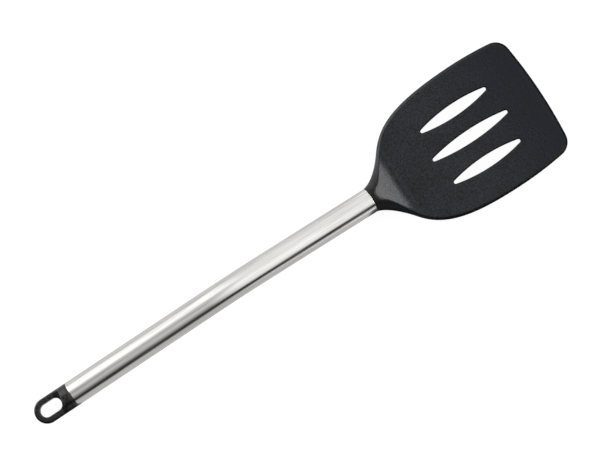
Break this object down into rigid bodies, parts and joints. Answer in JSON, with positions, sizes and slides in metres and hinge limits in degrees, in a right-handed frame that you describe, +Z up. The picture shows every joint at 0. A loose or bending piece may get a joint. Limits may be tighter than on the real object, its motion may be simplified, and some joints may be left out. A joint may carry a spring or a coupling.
{
  "type": "kitchen spatula",
  "caption": "Slotted kitchen turner: a thin black nylon blade on a flared neck, a softly bent round steel tube handle, and a moulded end cap with a hanging loop.",
  "frame": {"origin": "on the table, under the middle of the turner's length, on its plane of symmetry", "axes": "+X along the length towards the front edge of the blade, +Y to the left of the blade seen from above, +Z up from the table, with the food side of the blade up"},
  "size_m": [0.3674, 0.086, 0.0272],
  "materials": {
    "head_nylon": "fine-grained satin black nylon",
    "tube_steel": "brushed along the tube",
    "cap_plastic": "fine-grained matte black",
    "adhesive": "cured, amber"
  },
  "bodies": {
    "root": {"turner_head": "head_nylon", "handle_tube": "tube_steel", "hanging_cap": "cap_plastic", "head_bond": "adhesive", "cap_bond": "adhesive"}
  },
  "joints": []
}
